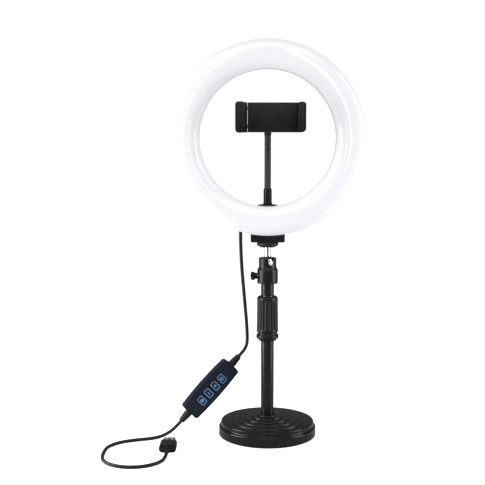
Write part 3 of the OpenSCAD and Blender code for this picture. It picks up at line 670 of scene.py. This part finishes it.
# %% Elbow and pivot ball
CLAMP_Z = hinge_height("clamp_turn")
ELBOW_LOW = heights("upper_ferrule")[0]
ELBOW_R = 3.7
PIVOT_Y = joints["clamp_turn"]["pos_m"][1] / MM
PIVOT_R = half_width("upper_ferrule")
elbow_outline = [(0, ELBOW_LOW), (ELBOW_R - 0.3, ELBOW_LOW), (ELBOW_R, ELBOW_LOW + 0.3)]
elbow_outline += arc((0, CLAMP_Z), ELBOW_R, 0, 90, 12)
elbow = turned("elbow", elbow_outline, ARM_FOOT, steps=64, closed=False, sharp=50)
pivot_outline = arc((0, PIVOT_Y), PIVOT_R, -90, 60, 24) + [(PIVOT_R / 2, 2)]
pivot = turned("pivot", pivot_outline, (0, 0, CLAMP_Z), "Y", steps=48, closed=False)
stand_in_for(joined("hose_elbow", [elbow, pivot]), "neck_top", "gloss_black", "upper_ferrule")

# %% [markdown]
# ## Lock knob
# The ball head's knob is a small black wing on its screw: flat on top, round at its outer end. A wing
# could be carved from a disc, but a block whose corners are drawn in and then rounded by a subdivision
# surface gives the same soft moulded form with far fewer steps.

# %% Lock knob
WING_HALF = (7.2, 2.8)
WING_FROM, WING_TO = -17.9, -12.6
KNOB_TURN = 18
HUB_FROM, HUB_TO = -13.4, -10.75

wing = slab("lock_wing", (WING_FROM, -WING_HALF[0], KNOB_Z - WING_HALF[1]),
            (WING_TO, WING_HALF[0], KNOB_Z + WING_HALF[1]), 1.5, 1)
smooth = wing.modifiers.new("round", "SUBSURF")
smooth.levels = smooth.render_levels = 2
bpy.ops.object.modifier_apply(modifier="round")
bpy.ops.object.shade_smooth()
knob_centre = Vector((0, 0, KNOB_Z)) * MM
turn_knob = Matrix.Rotation(math.radians(KNOB_TURN), 4, "X")
wing.data.transform(Matrix.Translation(knob_centre) @ turn_knob @ Matrix.Translation(-knob_centre))
hub_outline = [(SCREW_HOLE_R, HUB_FROM), (3.4, HUB_FROM), (3.0, HUB_TO), (SCREW_HOLE_R, HUB_TO)]
hub = turned("knob_hub", eased(hub_outline, 0.4), (0, 0, KNOB_Z), "X", steps=48)
stand_in_for(joined("lock_wing", [wing, hub]), "knob", "black_plastic", "lock_knob")

# %% [markdown]
# ## Gooseneck
# The phone arm is a ribbed steel hose. The frame has one stiff link between each two hinges, and links
# as they are would leave gaps when the arm leans. So the hose is made in stretches that run from the
# middle of one link to the middle of the next, each one over its hinge.

# %% Gooseneck
HOSE_R = half_width("gooseneck_1")
GROOVE_R = HOSE_R - 0.3
HOSE_BORE = 1.2
RIB_PITCH = 1.5
END_OVERLAP = 0.4
FIRST_HINGE = hinge_height("neck_bend_1")
LAST_HINGE = hinge_height("neck_bend_4")
HALF_LINK = (LAST_HINGE - FIRST_HINGE) / 3 / 2


def hose(name, low, high):
    """A stretch of ribbed hose between two heights."""
    ribs = round((high - low) / RIB_PITCH)
    pitch = (high - low) / ribs
    outline = [(HOSE_BORE, low), (GROOVE_R, low)]
    for i in range(ribs):
        z = low + i * pitch
        outline += [(HOSE_R - 0.02, z + 0.28 * pitch), (HOSE_R, z + 0.5 * pitch),
                    (HOSE_R - 0.02, z + 0.72 * pitch), (GROOVE_R, z + pitch)]
    outline += [(HOSE_BORE, high)]
    return turned(name, outline, ARM_FOOT, steps=40, sharp=60)


neck = ["arm", "neck_1", "neck_2", "neck_3", "neck_top"]
for number, (body_below, body_above) in enumerate(zip(neck, neck[1:]), 1):
    hinge = hinge_height(f"neck_bend_{number}")
    low = max(hinge - HALF_LINK, FIRST_HINGE - END_OVERLAP)
    high = min(hinge + HALF_LINK, LAST_HINGE + END_OVERLAP)
    stretch = hose(f"hose_{number}", low, high)
    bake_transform(stretch)
    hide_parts(f"gooseneck_{min(number, 3)}")
    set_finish(stretch, "painted_black")
    print(stretch.name, "from", low, "to", high)

# %% [markdown]
# ## Phone clamp
# Two upright jaws hold a phone. Each is a block with generously rounded outer corners, a lip that
# hooks over the phone's front and a fine raised rib. The right one carries the body that the left
# one slides along. One bevel can't round some corners more than others, so a jaw gets two: a wide one
# on its outer corners and then a fine one round its end faces.


# %% Jaw blocks
def rounded_jaw(name, low, high, outer):
    """A block whose outer corners, seen from the front, are rounded more than its other edges."""
    piece = block(name, low, high)
    for wide, reach, segments in ((True, 3.2, 6), (False, 0.6, 3)):
        bpy.ops.object.mode_set(mode="EDIT")
        bpy.ops.mesh.select_mode(type="EDGE")
        bpy.ops.mesh.select_all(action="DESELECT")
        bpy.ops.object.mode_set(mode="OBJECT")
        for edge in piece.data.edges:
            a, b = (piece.data.vertices[v].co for v in edge.vertices)
            along_y = abs(a.y - b.y) > 0.9 * (b - a).length
            at_outer = all(abs(end.x - outer * MM) < 1e-6 for end in (a, b))
            end_face = abs(a.y - b.y) < 1e-7
            edge.select = (along_y and at_outer) if wide else end_face
        bpy.ops.object.mode_set(mode="EDIT")
        bpy.ops.mesh.bevel(offset=reach * MM, segments=segments, affect="EDGES")
    bpy.ops.mesh.select_mode(type="VERT")
    return finished(piece, 40)


JAW_FRONT, JAW_BACK = span("clamp_jaw", "Y")
JAW_LOW, JAW_HIGH = heights("clamp_jaw")
BODY_LOW, BODY_HIGH = heights("clamp_body")
JAW_REACH = 12
FRAME_FRONT = JAW_FRONT + JAW_REACH
print("jaws stand from", JAW_LOW, "to", JAW_HIGH)


def lip_and_rib(lip_left, rib_left, low, high):
    """The lip that hooks over a phone and the rib on the front of a jaw."""
    lip = slab("lip", (lip_left, JAW_FRONT, low + 0.4), (lip_left + 3, JAW_FRONT + 2, high - 0.4), 0.5)
    rib = slab("rib", (rib_left, JAW_FRONT - 0.3, low + 3), (rib_left + 0.7, JAW_FRONT + 0.4, high - 3),
               0.25)
    return [lip, rib]


# %% Moving jaw
JAW_LEFT, CARRIAGE_RIGHT = span("clamp_jaw", "X")
GRIP_LEFT = span("jaw_pad", "X")[0]
moving = joined("moving_jaw", [
    rounded_jaw("jaw", (JAW_LEFT, JAW_FRONT, JAW_LOW), (GRIP_LEFT, JAW_BACK, JAW_HIGH), JAW_LEFT),
    *lip_and_rib(GRIP_LEFT - 1, GRIP_LEFT - 4.6, JAW_LOW, JAW_HIGH),
    slab("carriage", (GRIP_LEFT - 1, FRAME_FRONT, JAW_LOW + 0.2),
         (CARRIAGE_RIGHT, JAW_BACK, JAW_HIGH - 0.2), 0.5),
    slab("foot_line", (GRIP_LEFT - 0.2, FRAME_FRONT - 0.2, JAW_LOW + 6),
         (GRIP_LEFT + 0.4, FRAME_FRONT + 0.3, JAW_HIGH - 6), 0.15)])
stand_in_for(moving, "jaw", "black_plastic", "clamp_jaw")

# %% Clamp frame
CLAMP_W = 70
FRAME_LEFT = span("clamp_body", "X")[0]
FRAME_RIGHT = JAW_LEFT + CLAMP_W
FRAME_BACK = span("clamp_cover", "Y")[0]
GRIP_RIGHT = span("fixed_pad", "X")[1]
SPRING_ROOM = 4
ROD_Y = sum(span("guide_rods", "Y")) / 2
ROD_HOLE_R = 1.55
ROD_SPACING = 9
clamp_main = slab("main", (FRAME_LEFT, FRAME_FRONT, BODY_LOW), (GRIP_RIGHT + 1, FRAME_BACK, BODY_HIGH), 0.6)
spring_room = slab("spring_room", (FRAME_LEFT - 1, FRAME_FRONT + 1.6, CLAMP_Z - SPRING_ROOM),
                   (28, -14, CLAMP_Z + SPRING_ROOM), 0.05, 1)
cut(clamp_main, spring_room)
for side in (-ROD_SPACING, ROD_SPACING):
    cut(clamp_main, round_cutter("rod_hole", ROD_HOLE_R, -22, 29, (0, ROD_Y, CLAMP_Z + side), "X", 32))
fixed = joined("clamp_frame", [
    clamp_main,
    rounded_jaw("jaw", (GRIP_RIGHT, JAW_FRONT, BODY_LOW), (FRAME_RIGHT, JAW_BACK, BODY_HIGH), FRAME_RIGHT),
    *lip_and_rib(GRIP_RIGHT - 2, GRIP_RIGHT + 2.4, BODY_LOW, BODY_HIGH)])
stand_in_for(fixed, "clamp", "black_plastic", "clamp_body")

# %% [markdown]
# ## Clamp spring
# A wire spring inside the clamp pulls the moving jaw home. It is a true helix.

# %% Clamp spring
SPRING_FROM = FRAME_LEFT + 0.2
SPRING_TO = span("jaw_spring", "X")[1]
SPRING_Y = sum(span("jaw_spring", "Y")) / 2
WIRE_D = 0.6
COIL_R = 1.85
COIL_TURNS = 22
STEPS_PER_TURN = 12
coil = []
for i in range(COIL_TURNS * STEPS_PER_TURN + 1):
    turn = 2 * math.pi * i / STEPS_PER_TURN
    share = i / (COIL_TURNS * STEPS_PER_TURN)
    coil.append(Vector((SPRING_FROM + (SPRING_TO - SPRING_FROM) * share,
                        SPRING_Y + COIL_R * math.cos(turn), CLAMP_Z + COIL_R * math.sin(turn))) * MM)
spring = wire("clamp_spring", coil, WIRE_D * MM, sides=2)
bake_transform(spring)
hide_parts("jaw_spring")
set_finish(spring, "steel")
print("spring wire", round(line_length(coil), 3), "m")

# %% [markdown]
# ## Keys
# Each key of the controller carries a printed outline and a plain sign in pale blue: on and off, more,
# less, and colour. The print could be painted by a material, but real print stands on the key, so it
# is a thin raised layer, made flat on the key in the controller's own frame and then turned with it.


# %% Printed lines
KEY_FACE = -6.3
SIGN_R = 1.5
SIGN_REACH = 1.6


def stroke(points, width=0.55):
    """A printed line on the key's face, through (across, up) points in millimetres."""
    line = [Vector((across, KEY_FACE - 0.02, up)) * MM for across, up in points]
    return wire("line", line, width * MM, sides=1)


def key_outline(centre_z, width=9.6, height=6.0, radius=1.5):
    """Points of a rounded frame round a key."""
    made = []
    for right, up, first in ((1, 1, 0), (-1, 1, 90), (-1, -1, 180), (1, -1, 270)):
        corner = (right * (width / 2 - radius), centre_z + up * (height / 2 - radius))
        made += arc(corner, radius, first, first + 90, 6)
    return made + made[:1]


def key_sign(number, z):
    """Lines of a key's sign: on and off, more, less, or colour."""
    across = [(-SIGN_REACH, z), (SIGN_REACH, z)]
    return {
        1: [arc((0, z), SIGN_R, 125, 415, 18), [(0, z + 0.4), (0, z + 1.9)]],
        2: [across, [(0, z - SIGN_REACH), (0, z + SIGN_REACH)]],
        3: [across],
        4: [arc((0, z), SIGN_R, 0, 360, 18), [(0, z - SIGN_R), (0, z + SIGN_R)]],
    }[number]


# %% Key prints
TOP_KEY = 60.55
KEY_PITCH = 10.2
PRINT_THINNING = 0.35
CONTROLLER_TURN = Matrix.Rotation(math.radians(20), 4, "Z")
CONTROLLER_LEAN = Matrix.Rotation(math.radians(45), 4, "Y")
controller = Matrix.Translation(Vector(lower_route[0]) * MM) @ CONTROLLER_TURN @ CONTROLLER_LEAN
to_face = Matrix.Translation((0, KEY_FACE * MM, 0))
flatten = to_face @ Matrix.Diagonal((1, PRINT_THINNING, 1, 1)) @ to_face.inverted()
for number in (1, 2, 3, 4):
    key_z = TOP_KEY - (number - 1) * KEY_PITCH
    lines = [stroke(key_outline(key_z), 0.45)]
    lines += [stroke(points) for points in key_sign(number, key_z)]
    print_layer = joined(f"key_print_{number}", lines)
    print_layer.data.transform(controller @ flatten)
    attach(print_layer, f"button_{number}")
    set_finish(print_layer, "button")
    print(print_layer.name, "of", len(lines), "lines")

# %% [markdown]
# ## Finishes
# A single flat colour never looks like a real surface. One recipe serves every plastic and metal here:
# a colour that drifts very slightly, a gloss that is never quite even, and a fine grain or polish lines
# in the bump. All patterns read the piece's own coordinates, so they stay put when it moves.

# %% A finish with drift, uneven gloss and grain
CLOUD_SCALE = 60
GRAIN_HEIGHT = 0.0005


def finish(name, colour, rough, metal=0.0, specular=0.5, drift=0.15, grain=900, depth=0.02,
           stretch=(1, 1, 1), glow=0.0):
    """A material whose colour and gloss vary a little and whose surface has a fine grain."""
    made = bpy.data.materials.new(name)
    made.use_nodes = True
    tree = made.node_tree
    link = tree.links.new
    shader = tree.nodes["Principled BSDF"]
    shader.inputs["Metallic"].default_value = metal
    shader.inputs["Specular IOR Level"].default_value = specular
    shader.inputs["Emission Color"].default_value = (0.965, 0.965, 1, 1)
    shader.inputs["Emission Strength"].default_value = glow
    place = tree.nodes.new("ShaderNodeTexCoord")
    mapping = tree.nodes.new("ShaderNodeMapping")
    mapping.inputs["Scale"].default_value = stretch
    link(place.outputs["Object"], mapping.inputs["Vector"])
    noises = {}
    for use, scale, detail in (("cloud", CLOUD_SCALE, 5), ("fine", grain, 3)):
        noises[use] = tree.nodes.new("ShaderNodeTexNoise")
        noises[use].inputs["Scale"].default_value = scale
        noises[use].inputs["Detail"].default_value = detail
        link(mapping.outputs["Vector"], noises[use].inputs["Vector"])
    tint = tree.nodes.new("ShaderNodeValToRGB")
    for stop, position, share in zip(tint.color_ramp.elements, (0.3, 0.7), (1 - drift, 1 + drift)):
        stop.position = position
        stop.color = (*[min(1, c * share) for c in colour], 1)
    link(noises["cloud"].outputs["Fac"], tint.inputs["Fac"])
    link(tint.outputs["Color"], shader.inputs["Base Color"])
    gloss = tree.nodes.new("ShaderNodeMapRange")
    gloss.inputs["From Min"].default_value = 0.3
    gloss.inputs["From Max"].default_value = 0.7
    gloss.inputs["To Min"].default_value = rough * 0.9
    gloss.inputs["To Max"].default_value = min(1, rough * 1.12)
    link(noises["cloud"].outputs["Fac"], gloss.inputs["Value"])
    link(gloss.outputs["Result"], shader.inputs["Roughness"])
    bump = tree.nodes.new("ShaderNodeBump")
    bump.inputs["Strength"].default_value = depth
    bump.inputs["Distance"].default_value = GRAIN_HEIGHT
    link(noises["fine"].outputs["Fac"], bump.inputs["Height"])
    link(bump.outputs["Normal"], shader.inputs["Normal"])
    return made


# %% [markdown]
# ## The blacks, the opal and the metals
# The moulded black has a visible grain, the glossy black almost none, and the painted tube lies between
# them. The opal carries painted light: a faint glow that lifts its shaded edges to an even white, in
# place of light falling on the ring. Plated and turned metal gets its polish lines from a grain stretched
# along one axis. The controller is a blue-black, and its print pale blue.

# %% The finishes
BLACK = (0.006, 0.006, 0.0075)
finishes = {
    "black_plastic": finish("moulded_black", BLACK, 0.3, specular=0.22, depth=0.25, grain=2200),
    "gloss_black": finish("glossy_black", BLACK, 0.2, specular=0.22, depth=0.03, grain=700),
    "painted_black": finish("black_paint", BLACK, 0.22, specular=0.25, depth=0.08, grain=1500),
    "rubber": finish("soft_black", (0.011, 0.011, 0.0125), 0.5, specular=0.2, drift=0.12, depth=0.35,
                     grain=2600),
    "navy": finish("navy_black", (0.008, 0.010, 0.02), 0.33, specular=0.22, drift=0.1, depth=0.2,
                   grain=2400),
    "button": finish("key_navy", (0.011, 0.016, 0.038), 0.38, specular=0.22, drift=0.1, depth=0.2,
                     grain=2400),
    # Painted light: the opal's glow is an emission that lifts the ring's shaded edges to an even white.
    "opal": finish("opal_white", (0.4, 0.4, 0.41), 0.11, specular=0.5, drift=0.006, depth=0.008,
                   grain=400, glow=0.48),
    "chrome": finish("plated_bright", (0.83, 0.83, 0.84), 0.1, metal=1, drift=0.02, depth=0.03,
                     grain=1500, stretch=(1, 1, 8)),
    "steel": finish("zinc_plated", (0.62, 0.61, 0.6), 0.3, metal=1, drift=0.06, depth=0.1,
                    grain=1800, stretch=(1, 6, 1)),
    "iron": finish("cast_iron", (0.12, 0.12, 0.125), 0.7, metal=0.6, drift=0.3, depth=0.6, grain=1200),
    "brass": finish("turned_brass", (0.72, 0.53, 0.24), 0.28, metal=1, drift=0.05, depth=0.1,
                    grain=1500, stretch=(1, 1, 8)),
    "nylon": finish("natural_nylon", (0.78, 0.77, 0.72), 0.4, drift=0.03, depth=0.1),
    "board": finish("white_board", (0.8, 0.83, 0.79), 0.3, drift=0.03, depth=0.05),
    "green_board": finish("green_board", (0.03, 0.17, 0.07), 0.3, drift=0.15, depth=0.08),
    "led_cool": finish("cool_phosphor", (0.86, 0.88, 0.95), 0.3, drift=0.03, depth=0.05),
    "led_warm": finish("warm_phosphor", (0.95, 0.72, 0.3), 0.3, drift=0.05, depth=0.05),
}
ribbed_steel = finish("ribbed_steel", (0.05, 0.05, 0.053), 0.3, metal=0.7, drift=0.12, depth=0.06,
                      grain=1500)
key_print = finish("pale_blue_print", (0.2, 0.5, 0.85), 0.45, drift=0.05, depth=0.1)
print(len(finishes) + 2, "finishes")


# %% Paint every piece
def paint(piece, material):
    """Gives a piece one material all over."""
    piece.data.materials.clear()
    piece.data.materials.append(material)


own_finish = {f"hose_{number}": ribbed_steel for number in (1, 2, 3, 4)}
own_finish |= {f"key_print_{number}": key_print for number in (1, 2, 3, 4)}
for row in frame["record"]["subparts"]:
    paint(nodes[row["node"]], finishes[row["material_slot"]])
made_here = [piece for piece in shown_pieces() if "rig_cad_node" not in piece]
for piece in made_here:
    paint(piece, own_finish.get(piece.name) or finishes[piece["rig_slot"]])
print("painted", len(made_here), "pieces and", len(nodes), "CAD nodes")

# %% [markdown]
# ## What the cords are
# Here the two cords are only named.
# The upper one ends in the controller, and the lower one in a plug.

print("declared", cord_up.name, "and", cord_low.name)

# %% [markdown]
# ## A white room
# A product stands on white with no visible edge. A floor lit enough to be white would also fill every
# black piece with its reflection. So the camera sees a floor and a room that glow white, and every
# other ray meets a dull floor and a dim room, as in a studio with dark walls.


# %% Two faces of one surface
def seen_and_unseen(tree, seen, unseen, output):
    """Shows one shader to the camera and another to every other ray."""
    ray = tree.nodes.new("ShaderNodeLightPath")
    choice = tree.nodes.new("ShaderNodeMixShader")
    tree.links.new(ray.outputs["Is Camera Ray"], choice.inputs["Fac"])
    tree.links.new(unseen, choice.inputs[1])
    tree.links.new(seen, choice.inputs[2])
    tree.links.new(choice.outputs["Shader"], tree.nodes[output].inputs["Surface"])


# %% Floor
FLOOR_SIZE = 30
FLOOR_GLOW = 0.93
JUST_UNDER = -0.0002
start_clean()
bpy.ops.mesh.primitive_plane_add(size=FLOOR_SIZE, location=(0, 0, JUST_UNDER))
floor = bpy.context.object
floor.name = "floor"
floor_white = bpy.data.materials.new("floor_white")
floor_white.use_nodes = True
ground = floor_white.node_tree
matt = ground.nodes["Principled BSDF"]
matt.inputs["Base Color"].default_value = (0.6, 0.6, 0.6, 1)
matt.inputs["Roughness"].default_value = 0.8
matt.inputs["Specular IOR Level"].default_value = 0.0
glow = ground.nodes.new("ShaderNodeEmission")
glow.inputs["Strength"].default_value = FLOOR_GLOW
lit = ground.nodes.new("ShaderNodeAddShader")
ground.links.new(matt.outputs["BSDF"], lit.inputs[0])
ground.links.new(glow.outputs["Emission"], lit.inputs[1])
dull = ground.nodes.new("ShaderNodeBsdfDiffuse")
dull.inputs["Color"].default_value = (0.5, 0.5, 0.5, 1)
seen_and_unseen(ground, lit.outputs["Shader"], dull.outputs["BSDF"], "Material Output")
paint(floor, floor_white)
print("floor", FLOOR_SIZE, "m wide")

# %% World
DIM, BRIGHT = 0.16, 1.05
world = bpy.data.worlds.new("white_room")
world.use_nodes = True
bpy.context.scene.world = world
room = world.node_tree
dim = room.nodes["Background"]
bright = room.nodes.new("ShaderNodeBackground")
for background, strength in ((dim, DIM), (bright, BRIGHT)):
    background.inputs["Color"].default_value = (1, 1, 1, 1)
    background.inputs["Strength"].default_value = strength
seen_and_unseen(room, bright.outputs["Background"], dim.outputs["Background"], "World Output")
bpy.context.scene.view_settings.view_transform = "Standard"
print("room strength", DIM, "to reflections and", BRIGHT, "to the eye")

# %% [markdown]
# ## Lights
# Two tall soft lights stand left and right, whose reflections run as soft upright lines down every
# black cylinder. Two narrow ones in front draw fine arcs on the ring, two low ones shape the pole and
# the base, and a large one overhead fills the rest. The camera doesn't see the lamps themselves.

# %% Lights
MIDDLE = (0, 0, 0.25)
RING_UPPER = (0, 0, 0.45)
POLE_FOOT = (0, 0, 0.10)
for name, place, target, width, height, watts in (
        ("left_light", (-0.9, -0.3, 0.4), MIDDLE, 0.5, 1.3, 11),
        ("right_light", (0.9, -0.3, 0.4), MIDDLE, 0.3, 1.3, 6),
        ("near_left", (-0.2, -1.05, 0.6), RING_UPPER, 0.04, 0.6, 0.8),
        ("near_right", (0.15, -1.05, 0.6), RING_UPPER, 0.04, 0.6, 0.8),
        ("low_left", (-0.30, -0.05, 0.14), POLE_FOOT, 0.11, 0.3, 0.9),
        ("low_right", (0.28, -0.05, 0.14), POLE_FOOT, 0.06, 0.3, 0.5),
        ("high_light", (0, -1.6, 2.2), MIDDLE, 2.6, 2.0, 30)):
    lamp_data = bpy.data.lights.new(name, "AREA")
    lamp_data.shape = "RECTANGLE"
    lamp_data.size = width
    lamp_data.size_y = height
    lamp_data.energy = watts
    lamp = bpy.data.objects.new(name, lamp_data)
    lamp.location = place
    lamp.rotation_euler = (Vector(target) - Vector(place)).to_track_quat("-Z", "Y").to_euler()
    lamp.visible_camera = False
    bpy.context.scene.collection.objects.link(lamp)
    print(name, watts, "W")
